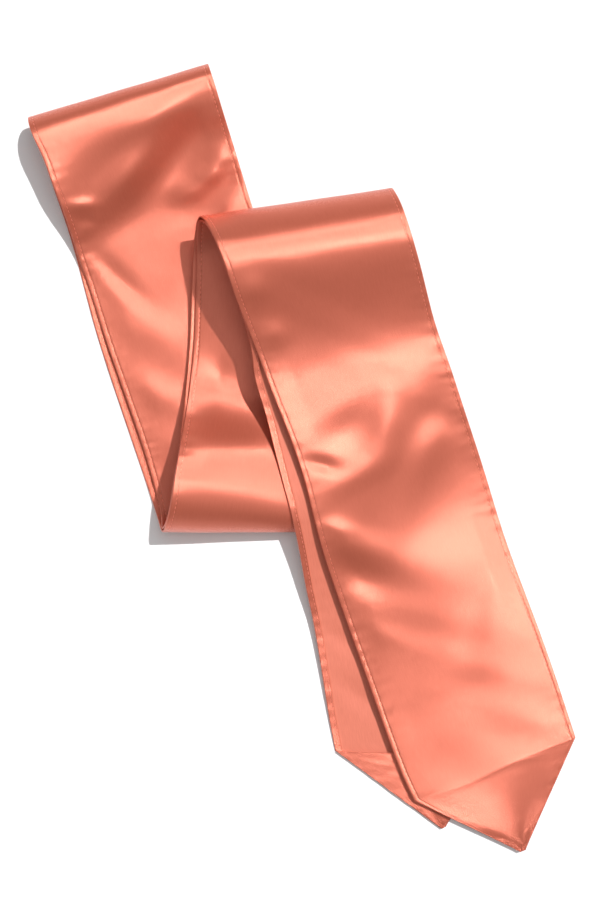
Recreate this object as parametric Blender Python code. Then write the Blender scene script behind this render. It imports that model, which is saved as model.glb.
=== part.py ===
"""A satin sash, folded in half and laid down in three stretches, with soft upright turns between them.

One long strip with narrow hems is folded at its middle. The two halves then run together, wrong sides
facing: down to a low turn, back up to a tall loop, and down again to their pointed ends. The front half
ends on top. Sizes are in millimetres until the meshes are made, X is to the right of the flat lay, Y is
up it, and Z is up from the surface that the sash lies on.
"""

from typing import NamedTuple

import bmesh
import bpy
import numpy as np

MM = 0.001

# Cut and cloth
SASH_WIDTH = 101.6
CLOTH = 1.0
HEM_WIDTH = 4.0
HEM_RAMP = 0.8
HEM_CLOTH = 1.25
LAYER_PITCH = 2.0
SEAM_GAP = 0.32
POCKET_RISE = 1.6
POCKET_INSET = 0.6
NARROWEST = 0.3

# How finely the cloth is divided
STEP_ALONG = 8.0
FEWEST_STEPS = 2
INNER_STEPS = 6
SHARP_ANGLE = 0.9

SATIN_CORAL = (0.80, 0.25, 0.16, 1.0)
SATIN_ROUGHNESS = 0.35


class Section(NamedTuple):
    """One line across the sash: where its left and right edges are, and how far its middle crowns up."""

    name: str
    left_x: float
    left_y: float
    left_z: float
    right_x: float
    right_y: float
    right_z: float
    crown: float = 0.0
    shift: float = 0.0


class Crease(NamedTuple):
    """A soft ridge, or a trough where height is negative, centred at x, y on one stretch."""

    stretch: str
    x: float
    y: float
    heading: float
    length: float
    width: float
    height: float


# Each stretch of the strip, and the folds or ends that it lies between
STRETCHES = {
    "back_lower_stretch": ("back tip", "back loop"),
    "back_middle_stretch": ("back loop", "back turn"),
    "back_upper_stretch": ("back turn", "middle fold"),
    "front_upper_stretch": ("middle fold", "front turn"),
    "front_middle_stretch": ("front turn", "front loop"),
    "front_lower_stretch": ("front loop", "front tip"),
}

# The turned pocket on the wrong side of each point
POCKETS = {
    "back_point_pocket": ("back tip", "back corners"),
    "front_point_pocket": ("front corners", "front tip"),
}

# The front half above the pair: from the middle fold over a soft arch and down onto the back half
FRONT_START = [
    Section("middle fold", -149.0, 187.7, 12.6, -50.3, 217.2, 11.6),
    Section("fold shoulder", -148.2, 184.4, 20.6, -49.3, 213.9, 19.0),
    Section("fold top", -145.2, 176.2, 25.0, -46.7, 205.7, 21.6),
    Section("arch", -139.6, 163.9, 25.0, -42.6, 192.4, 17.0),
    Section("arch end", -135.0, 151.0, 22.6, -39.0, 180.9, 11.6, -2.0),
    Section("arch slope", -129.5, 136.1, 16.6, -34.0, 164.7, 7.2, -4.0),
    Section("arch foot", -125.2, 121.6, 8.8, -29.9, 151.3, 4.6, -3.0),
    Section("arch toe", -121.4, 108.5, 4.0, -26.0, 138.9, 3.2, -0.6),
    Section("down", -116.4, 94.0, 2.5, -21.3, 123.6, 2.5),
]

# The back half under that: round the fold onto the surface
BACK_START = [
    Section("middle fold", -149.0, 187.7, 12.6, -50.3, 217.2, 11.6),
    Section("fold heel", -148.2, 184.4, 4.4, -49.3, 213.9, 4.0),
    Section("fold sole", -145.2, 176.2, 0.5, -46.7, 205.7, 0.5),
    Section("flat", -137.6, 153.0, 0.5, -40.0, 183.0, 0.5),
    Section("flat", -128.6, 126.9, 0.5, -31.4, 156.6, 0.5),
    Section("down", -119.6, 94.7, 0.5, -22.4, 124.4, 0.5),
]

# Midway between the two halves, where they run together. Shift parts their edges: the front half goes
# to the right by it and the back half to the left
PAIR = [
    Section("upper stretch", -110.0, 67.1, 1.5, -12.8, 96.8, 1.5, 0.0, 1.9),
    Section("upper stretch low", -91.0, 11.1, 1.5, 9.1, 32.4, 1.5, 0.0, 2.4),
    Section("turn foot", -82.2, -16.7, 1.8, 22.4, -10.1, 1.6, 0.0, 1.8),
    Section("turn heel", -77.4, -33.2, 6.2, 28.8, -32.4, 2.6, 0.0, 0.8),
    Section("turn out", -75.6, -38.2, 16.0, 30.2, -38.2, 6.4),
    Section("turn shoulder", -73.0, -34.8, 26.0, 31.2, -36.2, 10.2),
    Section("turn top", -70.2, -25.6, 32.2, 32.0, -31.2, 12.2),
    Section("ridge", -68.0, -11.6, 33.8, 33.4, -22.8, 11.4, 0.5),
    Section("ridge slope", -65.8, 3.0, 28.2, 35.6, -8.0, 9.6, 0.4),
    Section("middle stretch", -64.0, 19.0, 18.6, 38.0, 7.0, 7.4, 1.0, -0.5),
    Section("slope foot", -62.2, 37.0, 10.6, 41.0, 26.0, 6.4, 1.8, -1.0),
    Section("loop floor", -60.0, 62.0, 7.8, 44.2, 58.0, 6.0, 2.4, -1.2),
    Section("loop floor", -58.8, 88.0, 9.2, 46.4, 90.0, 7.4, 2.4, -1.2),
    Section("loop foot", -58.0, 107.5, 13.0, 48.0, 115.6, 10.6, 1.6, -1.0),
    Section("loop heel", -57.2, 119.6, 18.4, 49.2, 131.0, 15.8, 0.8, -0.6),
    Section("loop rise", -56.2, 126.6, 24.4, 49.6, 140.6, 21.2, 0.3, -0.2),
    Section("loop back", -54.6, 130.0, 31.0, 49.8, 145.6, 27.6),
    Section("loop shoulder", -51.4, 128.0, 39.0, 51.0, 143.8, 34.4),
    Section("loop high", -47.0, 121.0, 45.6, 53.8, 137.4, 40.4),
    Section("loop top", -41.4, 107.6, 50.6, 58.4, 123.4, 44.8),
    Section("loop front", -33.8, 85.6, 43.6, 65.4, 101.0, 37.8),
]

# The front half below the loop, on top of everything, down to its point
FRONT_END = [
    Section("loop slope", -24.0, 60.4, 34.8, 73.0, 74.4, 29.4, 0.4),
    Section("saddle", -16.7, 40.4, 31.0, 80.9, 52.6, 25.2, 1.4),
    Section("saddle", -9.2, 21.6, 29.8, 86.4, 37.0, 21.8, 1.8),
    Section("saddle end", 1.1, -7.1, 27.6, 92.4, 20.0, 17.0, 1.0),
    Section("lower stretch", 9.6, -39.6, 22.6, 101.6, -6.7, 10.4, -0.4),
    Section("lower stretch", 22.4, -79.7, 12.4, 114.4, -46.4, 6.0, 0.0),
    Section("lower stretch", 41.0, -132.1, 7.2, 134.0, -98.9, 4.4, 0.6),
    Section("above the point", 56.4, -173.9, 6.2, 148.4, -140.8, 3.2, 0.5),
    Section("corners", 63.3, -188.3, 6.4, 152.6, -153.6, 3.0, 0.4),
    Section("tip", 122.2, -216.9, 3.3, 124.6, -216.0, 3.2),
]

# The back half below the loop: over the ridge of the low turn, then down to the surface and its point
BACK_END = [
    Section("loop slope", -26.6, 61.4, 32.4, 71.8, 72.6, 26.8, 0.0),
    Section("saddle", -24.4, 44.0, 28.0, 77.0, 54.6, 22.6, 0.4),
    Section("saddle", -20.0, 29.0, 25.4, 80.8, 42.0, 19.4, 0.4),
    Section("on the ridge", -15.3, 11.0, 23.8, 85.2, 26.8, 14.4, 0.4),
    Section("on the ridge", -8.4, -16.3, 23.6, 91.6, 2.6, 8.6, 0.5),
    Section("past the ridge", -3.7, -34.2, 21.2, 95.8, -14.8, 5.6, 0.2),
    Section("down", 0.4, -54.3, 15.0, 100.2, -34.9, 3.2),
    Section("down", 3.4, -71.0, 10.4, 103.4, -51.7, 1.8),
    Section("lower stretch", 7.0, -88.0, 6.6, 106.8, -69.0, 1.1),
    Section("lower stretch", 12.6, -121.0, 3.6, 112.8, -102.0, 0.5),
    Section("above the point", 16.6, -146.0, 1.6, 118.2, -126.6, 0.5),
    Section("corners", 19.6, -161.4, 0.9, 121.9, -144.1, 0.5),
    Section("tip", 78.2, -204.5, 0.5, 80.6, -203.7, 0.5),
]

# The largest soft ridges and troughs of each stretch. Heading is degrees from +X towards +Y
CREASES = [
    Crease("front_upper_stretch", -98.0, 170.0, 72.0, 60.0, 8.0, 4.0),
    Crease("front_upper_stretch", -120.0, 152.0, 60.0, 30.0, 8.0, -2.4),
    Crease("front_upper_stretch", -58.0, 158.0, 48.0, 34.0, 6.0, 1.8),
    Crease("front_upper_stretch", -104.0, 104.0, -42.0, 44.0, 8.0, 1.0),
    Crease("front_lower_stretch", 12.0, 42.0, 20.0, 70.0, 16.0, -2.6),
    Crease("front_lower_stretch", 24.0, 22.0, -40.0, 36.0, 12.0, -2.0),
    Crease("front_lower_stretch", 48.0, 8.0, 62.0, 52.0, 12.0, 3.0),
    Crease("front_lower_stretch", 30.0, -62.0, -24.0, 46.0, 11.0, -3.4),
    Crease("front_lower_stretch", 22.0, -36.0, -22.0, 36.0, 9.0, 1.4),
    Crease("front_lower_stretch", 46.0, -96.0, -42.0, 44.0, 8.0, 1.2),
    Crease("front_lower_stretch", 100.0, -138.0, 30.0, 60.0, 12.0, -1.0),
]


def section_row(section: Section) -> np.ndarray:
    """The section's left end, its right end and its crown, as one row of seven numbers."""
    return np.array([*section[1:7], section.crown])


def unit(vectors: np.ndarray) -> np.ndarray:
    """The vectors at length 1."""
    return vectors / np.linalg.norm(vectors, axis=-1, keepdims=True)


def tangent(before: np.ndarray, here: np.ndarray, after: np.ndarray) -> np.ndarray:
    """The direction of a curve at here, from its neighbours, the nearer one counting more."""
    near = np.linalg.norm(here - before)
    far = np.linalg.norm(after - here)
    return unit((here - before) * far / near + (after - here) * near / far)


def paired_half(side: int) -> list[np.ndarray]:
    """The rows of one half where the halves run together: side is 1 for the front and -1 for the back."""
    rows = [section_row(section) for section in PAIR]
    framed = [2 * rows[0] - rows[1], *rows, section_row(FRONT_END[0])]
    made = []
    for i, section in enumerate(PAIR, start=1):
        row = framed[i].copy()
        across = unit(row[3:6] - row[0:3])
        for k in (0, 3):
            along = tangent(framed[i - 1][k : k + 3], framed[i][k : k + 3], framed[i + 1][k : k + 3])
            up = unit(np.cross(along, across))
            row[k : k + 3] += side * (up * LAYER_PITCH / 2 + across * section.shift)
        made.append(row)
    return made


def whole_strip() -> tuple[np.ndarray, dict[str, int]]:
    """The sash's rows from the back point to the front point, and where its folds lie among them."""
    back = [section_row(s) for s in BACK_START] + paired_half(-1) + [section_row(s) for s in BACK_END]
    front = [section_row(s) for s in FRONT_START] + paired_half(1) + [section_row(s) for s in FRONT_END]
    names = [section.name for section in PAIR]
    turn = names.index("turn out")
    loop = names.index("loop back")
    middle = len(back) - 1
    folds = {
        "back tip": 0,
        "back corners": 1,
        "back loop": middle - len(BACK_START) - loop,
        "back turn": middle - len(BACK_START) - turn,
        "middle fold": middle,
        "front turn": middle + len(FRONT_START) + turn,
        "front loop": middle + len(FRONT_START) + loop,
        "front corners": middle + len(front) - 2,
        "front tip": middle + len(front) - 1,
    }
    return np.array(back[::-1] + front[1:]), folds


def bends_of(rows: np.ndarray, times: np.ndarray) -> np.ndarray:
    """The second derivatives, at each row, of the natural cubic spline through the rows."""
    gaps = np.diff(times)
    system = np.eye(len(rows))
    wanted = np.zeros_like(rows)
    for i in range(1, len(rows) - 1):
        system[i, i - 1 : i + 2] = gaps[i - 1], 2 * (gaps[i - 1] + gaps[i]), gaps[i]
        wanted[i] = 6 * ((rows[i + 1] - rows[i]) / gaps[i] - (rows[i] - rows[i - 1]) / gaps[i - 1])
    return np.linalg.solve(system, wanted)


def smooth_rows(rows: np.ndarray, step: float) -> tuple[np.ndarray, list[int]]:
    """Rows on one smooth curve through the given rows, and where the given ones lie among them."""
    middles = (rows[:, 0:3] + rows[:, 3:6]) / 2
    chords = np.linalg.norm(np.diff(middles, axis=0), axis=1)
    times = np.concatenate([[0.0], np.cumsum(np.sqrt(chords))])
    bends = bends_of(rows, times)
    made = []
    places = []
    for i in range(len(rows) - 1):
        gap = times[i + 1] - times[i]
        longest = max(np.linalg.norm(rows[i + 1, k : k + 3] - rows[i, k : k + 3]) for k in (0, 3))
        places.append(len(made))
        for part in np.linspace(0, 1, max(FEWEST_STEPS, int(np.ceil(longest / step))), endpoint=False):
            rest = 1 - part
            bow = (rest**3 - rest) * bends[i] + (part**3 - part) * bends[i + 1]
            made.append(rest * rows[i] + part * rows[i + 1] + bow * gap * gap / 6)
    places.append(len(made))
    made.append(rows[-1])
    return np.array(made), places


def straight_rows(start: np.ndarray, end: np.ndarray, step: float) -> np.ndarray:
    """Rows from start up to but not including end, whose ends lie on straight lines."""
    count = int(np.ceil(np.linalg.norm(end[0:6] - start[0:6]) / step))
    return start + (end - start) * np.linspace(0, 1, count, endpoint=False)[:, None]


def strip_rows(knots: np.ndarray, step: float) -> tuple[np.ndarray, list[int]]:
    """The whole strip: a smooth curve between the corners, and straight-sided points beyond them."""
    smooth, places = smooth_rows(knots[1:-1], step)
    before = straight_rows(knots[0], knots[1], step)
    after = straight_rows(knots[-1], knots[-2], step)[::-1]
    moved = [place + len(before) for place in places]
    rows = np.vstack([before, smooth, after])
    return rows, [0, *moved, len(rows) - 1]


def across_places() -> np.ndarray:
    """How far across the cloth each lengthways line runs, from 0 to 1, with a pair where each hem ends."""
    hem = HEM_WIDTH / SASH_WIDTH
    fold = (HEM_WIDTH - HEM_RAMP) / SASH_WIDTH
    inner = np.linspace(hem, 1 - hem, INNER_STEPS + 1)
    return np.concatenate([[0.0, fold], inner, [1 - fold, 1.0]])


def crease_heights(stretch: str, x: np.ndarray, y: np.ndarray) -> np.ndarray:
    """How far the soft ridges and troughs of a stretch lift its cloth at x, y."""
    heights = np.zeros_like(x)
    for crease in CREASES:
        if crease.stretch == stretch:
            turn = np.radians(crease.heading)
            along = (x - crease.x) * np.cos(turn) + (y - crease.y) * np.sin(turn)
            aside = (y - crease.y) * np.cos(turn) - (x - crease.x) * np.sin(turn)
            fall = (2 * along / crease.length) ** 2 + (aside / crease.width) ** 2
            heights += crease.height * np.exp(-fall)
    return heights


def middle_surface(rows: np.ndarray, spans: dict[str, slice]) -> np.ndarray:
    """The middle of the whole strip's cloth: one line of points across it for each row."""
    places = across_places()
    points = rows[:, None, 0:3] + (rows[:, None, 3:6] - rows[:, None, 0:3]) * places[None, :, None]
    hump = 4 * places * (1 - places)
    points[:, :, 2] += rows[:, 6:7] * hump
    for name, span in spans.items():
        lift = crease_heights(name, points[span, :, 0], points[span, :, 1])
        points[span, :, 2] += lift * np.minimum(1.0, 2 * hump)
    points[:, :, 2] = np.maximum(points[:, :, 2], CLOTH / 2)
    return points


def satin_normals(points: np.ndarray) -> np.ndarray:
    """The directions in which the strip's satin side faces."""
    along = np.gradient(points, axis=0)
    across = np.gradient(points, axis=1)
    return unit(np.cross(along, across))


def parted(face: np.ndarray, middle: np.ndarray) -> np.ndarray:
    """A face of one stretch with both ends drawn in, along the cloth's middle, by half a seam gap."""
    trimmed = face.copy()
    for end, inner in ((0, 1), (-1, -2)):
        pull = middle[inner] - middle[end]
        length = np.linalg.norm(pull, axis=-1, keepdims=True)
        trimmed[end] += pull * np.minimum(SEAM_GAP / 2 / length, 0.5)
    return trimmed


def satin(name: str) -> bpy.types.Material:
    """The satin's finish."""
    finish = bpy.data.materials.new(name)
    finish.use_nodes = True
    shader = finish.node_tree.nodes["Principled BSDF"]
    shader.inputs["Base Color"].default_value = SATIN_CORAL
    shader.inputs["Roughness"].default_value = SATIN_ROUGHNESS
    shader.inputs["Metallic"].default_value = 0.0
    return finish


def cloth_object(
    name: str, outer: np.ndarray, inner: np.ndarray, finish: bpy.types.Material
) -> bpy.types.Object:
    """A closed wall of cloth between its satin face and its wrong side, made as a grid and extruded."""
    rows, columns = outer.shape[0:2]
    wall = bmesh.new()
    bmesh.ops.create_grid(wall, x_segments=columns - 1, y_segments=rows - 1, size=1.0)
    place = wall.verts.layers.int.new("place")
    for i, vertex in enumerate(wall.verts):
        vertex[place] = i
    extruded = bmesh.ops.extrude_face_region(wall, geom=wall.faces[:])
    far = {item for item in extruded["geom"] if isinstance(item, bmesh.types.BMVert)}
    for vertex in wall.verts:
        side = inner if vertex in far else outer
        vertex.co = side.reshape(-1, 3)[vertex[place]] * MM
    mesh = bpy.data.meshes.new(name)
    wall.to_mesh(mesh)
    wall.free()
    mesh.shade_smooth()
    mesh.set_sharp_from_angle(angle=SHARP_ANGLE)
    mesh.materials.append(finish)
    return bpy.data.objects.new(name, mesh)


def drawn_in(points: np.ndarray) -> np.ndarray:
    """A turned pocket's points, drawn in from the edges of the point that it lies on."""
    centre = points.mean(axis=1, keepdims=True)
    reach = np.linalg.norm(points - centre, axis=2, keepdims=True).max(axis=1, keepdims=True)
    return centre + (points - centre) * np.maximum(NARROWEST, 1 - POCKET_INSET / reach)


def sash_faces() -> dict[str, tuple[np.ndarray, np.ndarray]]:
    """Each piece's satin face and wrong side, as grids of points."""
    knots, folds = whole_strip()
    rows, places = strip_rows(knots, STEP_ALONG)

    def span(start: str, end: str) -> slice:
        return slice(places[folds[start]], places[folds[end]] + 1)

    spans = {name: span(start, end) for name, (start, end) in STRETCHES.items()}
    middle = middle_surface(rows, spans)
    normals = satin_normals(middle)
    lines = across_places() * SASH_WIDTH
    in_hem = np.minimum(lines, SASH_WIDTH - lines) < HEM_WIDTH - HEM_RAMP / 2
    wall = np.where(in_hem, HEM_CLOTH, CLOTH)[None, :, None]
    face = middle + normals * CLOTH / 2
    back = face - normals * wall
    pieces = {}
    for name, part in spans.items():
        pieces[name] = (parted(face[part], middle[part]), parted(back[part], middle[part]))
    for name, (start, end) in POCKETS.items():
        part = span(start, end)
        laid = drawn_in(middle[part] - normals[part] * POCKET_RISE)
        up = normals[part] * CLOTH / 2
        pieces[name] = (parted(laid + up, laid), parted(laid - up, laid))
    return pieces


def build_sash() -> None:
    """Makes every piece of the sash, with its origin on the surface under the middle of its outline."""
    home = bpy.data.collections.new("satin_sash")
    bpy.context.scene.collection.children.link(home)
    finish = satin("coral satin")
    pieces = sash_faces()
    every = np.vstack([side.reshape(-1, 3) for sides in pieces.values() for side in sides])
    middle = (every.min(axis=0) + every.max(axis=0)) / 2 * (1, 1, 0)
    for name, (face, back) in pieces.items():
        home.objects.link(cloth_object(name, face - middle, back - middle, finish))


for leftover in list(bpy.data.objects):
    bpy.data.objects.remove(leftover)
build_sash()
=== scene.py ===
"""A coral satin sash, folded in half and laid down in three stretches, with its sewing, light and camera.

One long strip of satin with narrow turned hems is folded at its middle. The two halves run together,
wrong sides facing: down to a low turn, back up to a tall loop, and down again to their pointed ends.
Sizes are in millimetres until the meshes are made. X is to the right of the flat lay, Y is up it, and Z
is up from the surface that the sash lies on.
"""

import logging
from dataclasses import dataclass, field
from enum import Enum
from typing import NamedTuple

import bmesh
import bpy
import numpy as np
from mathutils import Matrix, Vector


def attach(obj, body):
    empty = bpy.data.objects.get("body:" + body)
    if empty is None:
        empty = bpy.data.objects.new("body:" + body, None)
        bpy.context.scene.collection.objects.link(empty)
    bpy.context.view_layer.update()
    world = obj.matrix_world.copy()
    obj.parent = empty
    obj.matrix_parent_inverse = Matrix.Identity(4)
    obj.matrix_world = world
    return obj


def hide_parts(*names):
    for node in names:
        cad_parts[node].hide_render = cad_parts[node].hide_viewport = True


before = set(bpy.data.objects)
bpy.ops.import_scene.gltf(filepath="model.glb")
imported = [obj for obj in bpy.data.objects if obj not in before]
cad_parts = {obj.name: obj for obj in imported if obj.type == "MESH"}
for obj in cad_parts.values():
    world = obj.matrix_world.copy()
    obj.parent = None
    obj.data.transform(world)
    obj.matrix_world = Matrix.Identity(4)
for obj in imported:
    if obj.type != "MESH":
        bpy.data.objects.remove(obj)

LOG = logging.getLogger("satin sash")
MM = 0.001
WHITE = (1.0, 1.0, 1.0, 1.0)

# The middle of the sash's outline, in the coordinates of the tables below
CENTRE_X = 1.75
CENTRE_Y = 0.4


class Section(NamedTuple):
    """One line across the sash: where its left and right edges are, and how far its middle crowns up."""

    name: str
    left_x: float
    left_y: float
    left_z: float
    right_x: float
    right_y: float
    right_z: float
    crown: float = 0.0
    shift: float = 0.0


class Stretch(Enum):
    """The stretches of the strip, in order from the back half's point to the front half's."""

    BACK_LOWER = "back_lower_stretch"
    BACK_MIDDLE = "back_middle_stretch"
    BACK_UPPER = "back_upper_stretch"
    FRONT_UPPER = "front_upper_stretch"
    FRONT_MIDDLE = "front_middle_stretch"
    FRONT_LOWER = "front_lower_stretch"


class Point(Enum):
    """The two pointed ends, each with a turned pocket on its wrong side."""

    BACK = "back_point_pocket"
    FRONT = "front_point_pocket"


class Half(Enum):
    """The two halves of the folded sash, and which way each lies from the line midway between them."""

    FRONT = 1
    BACK = -1


class Swell(NamedTuple):
    """A broad soft ridge, or a trough where height is negative, centred at x, y."""

    x: float
    y: float
    heading: float
    length: float
    width: float
    height: float


class Crease(NamedTuple):
    """A narrow ridge, or a trough where height is negative, along a path of x, y places."""

    path: tuple[tuple[float, float], ...]
    width: float
    height: float


class Wave(NamedTuple):
    """A wandering sine wave over the cloth. Its lengths are those over which it turns by one radian."""

    along: float
    across: float
    sway: float
    sway_along: float
    sway_across: float
    strength: float = 1.0

    def height(self, along: np.ndarray, across: np.ndarray | float, lag: np.ndarray | float = 0.0,
               sway_lag: np.ndarray | float = 0.0) -> np.ndarray:
        """Return the wave's height at these distances along and across the cloth."""
        wander = np.sin(along / self.sway_along + across / self.sway_across + sway_lag)
        return self.strength * np.sin(along / self.along + across / self.across + lag + self.sway * wander)


# Where each stretch and each point runs from and to
SPANS = {
    Stretch.BACK_LOWER: ("back tip", "back loop"),
    Stretch.BACK_MIDDLE: ("back loop", "back turn"),
    Stretch.BACK_UPPER: ("back turn", "middle fold"),
    Stretch.FRONT_UPPER: ("middle fold", "front turn"),
    Stretch.FRONT_MIDDLE: ("front turn", "front loop"),
    Stretch.FRONT_LOWER: ("front loop", "front tip"),
    Point.BACK: ("back tip", "back corners"),
    Point.FRONT: ("front corners", "front tip"),
}

# The front half above the pair: from the middle fold over a soft arch and down onto the back half
FRONT_START = [
    Section("middle fold", -149.0, 187.7, 12.6, -50.3, 217.2, 11.6),
    Section("fold shoulder", -148.2, 184.4, 20.6, -49.3, 213.9, 19.0),
    Section("fold top", -145.2, 176.2, 25.0, -46.7, 205.7, 21.6),
    Section("arch", -139.6, 163.9, 25.0, -42.6, 192.4, 17.0),
    Section("arch end", -135.0, 151.0, 22.6, -39.0, 180.9, 11.6, -2.0),
    Section("arch slope", -129.5, 136.1, 16.6, -34.0, 164.7, 7.2, -4.0),
    Section("arch foot", -125.2, 121.6, 8.8, -29.9, 151.3, 4.6, -3.0),
    Section("arch toe", -121.4, 108.5, 4.0, -26.0, 138.9, 3.2, -0.6),
    Section("down", -116.4, 94.0, 2.5, -21.3, 123.6, 2.5),
]

# The back half under that: round the fold onto the surface
BACK_START = [
    Section("middle fold", -149.0, 187.7, 12.6, -50.3, 217.2, 11.6),
    Section("fold heel", -148.2, 184.4, 4.4, -49.3, 213.9, 4.0),
    Section("fold sole", -145.2, 176.2, 0.5, -46.7, 205.7, 0.5),
    Section("flat", -137.6, 153.0, 0.5, -40.0, 183.0, 0.5),
    Section("flat", -128.6, 126.9, 0.5, -31.4, 156.6, 0.5),
    Section("down", -119.6, 94.7, 0.5, -22.4, 124.4, 0.5),
]

# Midway between the two halves, where they run together. Shift parts their edges: the front half goes
# to the right by it and the back half to the left
PAIR = [
    Section("upper stretch", -110.0, 67.1, 1.5, -12.8, 96.8, 1.5, 0.0, 1.9),
    Section("upper stretch low", -91.0, 11.1, 1.5, 9.1, 32.4, 1.5, 0.0, 2.4),
    Section("turn foot", -82.2, -16.7, 1.8, 22.4, -10.1, 1.6, 0.0, 1.8),
    Section("turn heel", -77.4, -33.2, 6.2, 28.8, -32.4, 2.6, 0.0, 0.8),
    Section("turn out", -75.6, -38.2, 16.0, 30.2, -38.2, 6.4),
    Section("turn shoulder", -73.0, -34.8, 26.0, 31.2, -36.2, 10.2),
    Section("turn top", -70.2, -25.6, 32.2, 32.0, -31.2, 12.2),
    Section("ridge", -68.0, -11.6, 33.8, 33.4, -22.8, 11.4, 0.5),
    Section("ridge slope", -65.8, 3.0, 28.2, 35.6, -8.0, 9.6, 0.4),
    Section("middle stretch", -64.0, 19.0, 18.6, 38.0, 7.0, 7.4, 1.0, -0.5),
    Section("slope foot", -62.2, 37.0, 10.6, 41.0, 26.0, 6.4, 1.8, -1.0),
    Section("loop floor", -60.0, 62.0, 7.8, 44.2, 58.0, 6.0, 2.4, -1.2),
    Section("loop floor", -58.8, 88.0, 9.2, 46.4, 90.0, 7.4, 2.4, -1.2),
    Section("loop foot", -58.0, 107.5, 13.0, 48.0, 115.6, 10.6, 1.6, -1.0),
    Section("loop heel", -57.2, 119.6, 18.4, 49.2, 131.0, 15.8, 0.8, -0.6),
    Section("loop rise", -56.2, 126.6, 24.4, 49.6, 140.6, 21.2, 0.3, -0.2),
    Section("loop back", -54.6, 130.0, 31.0, 49.8, 145.6, 27.6),
    Section("loop shoulder", -51.4, 128.0, 39.0, 51.0, 143.8, 34.4),
    Section("loop high", -47.0, 121.0, 45.6, 53.8, 137.4, 40.4),
    Section("loop top", -41.4, 107.6, 50.6, 58.4, 123.4, 44.8),
    Section("loop front", -33.8, 85.6, 43.6, 65.4, 101.0, 37.8),
]

# The front half below the loop, on top of everything, down to its point
FRONT_END = [
    Section("loop slope", -24.0, 60.4, 34.8, 73.0, 74.4, 29.4, 0.4),
    Section("saddle", -16.7, 40.4, 31.0, 80.9, 52.6, 25.2, 1.4),
    Section("saddle", -9.2, 21.6, 29.8, 86.4, 37.0, 21.8, 1.8),
    Section("saddle end", 1.1, -7.1, 27.6, 92.4, 20.0, 17.0, 1.0),
    Section("lower stretch", 9.6, -39.6, 22.6, 101.6, -6.7, 10.4, -0.4),
    Section("lower stretch", 22.4, -79.7, 12.4, 114.4, -46.4, 6.0, 0.0),
    Section("lower stretch", 41.0, -132.1, 7.2, 134.0, -98.9, 4.4, 0.6),
    Section("above the point", 56.4, -173.9, 6.2, 148.4, -140.8, 3.2, 0.5),
    Section("corners", 63.3, -188.3, 6.4, 152.6, -153.6, 3.0, 0.4),
    Section("tip", 122.2, -216.9, 3.3, 124.6, -216.0, 3.2),
]

# The back half below the loop: over the ridge of the low turn, then down to the surface and its point
BACK_END = [
    Section("loop slope", -26.6, 61.4, 32.4, 71.8, 72.6, 26.8, 0.0),
    Section("saddle", -24.4, 44.0, 28.0, 77.0, 54.6, 22.6, 0.4),
    Section("saddle", -20.0, 29.0, 25.4, 80.8, 42.0, 19.4, 0.4),
    Section("on the ridge", -15.3, 11.0, 23.8, 85.2, 26.8, 14.4, 0.4),
    Section("on the ridge", -8.4, -16.3, 23.6, 91.6, 2.6, 8.6, 0.5),
    Section("past the ridge", -3.7, -34.2, 21.2, 95.8, -14.8, 5.6, 0.2),
    Section("down", 0.4, -54.3, 15.0, 100.2, -34.9, 3.2),
    Section("down", 3.4, -71.0, 10.4, 103.4, -51.7, 1.8),
    Section("lower stretch", 7.0, -88.0, 6.6, 106.8, -69.0, 1.1),
    Section("lower stretch", 12.6, -121.0, 3.6, 112.8, -102.0, 0.5),
    Section("above the point", 16.6, -146.0, 1.6, 118.2, -126.6, 0.5),
    Section("corners", 19.6, -161.4, 0.9, 121.9, -144.1, 0.5),
    Section("tip", 78.2, -204.5, 0.5, 80.6, -203.7, 0.5),
]

# The two middle stretches lie together, so they share their folds: a round brow, and a low floor behind it
MIDDLE_SWELLS = [
    Swell(-38.0, 6.0, -8.0, 100.0, 13.0, 3.2),
    Swell(-28.0, 38.0, -8.0, 110.0, 15.0, -3.2),
]

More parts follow.
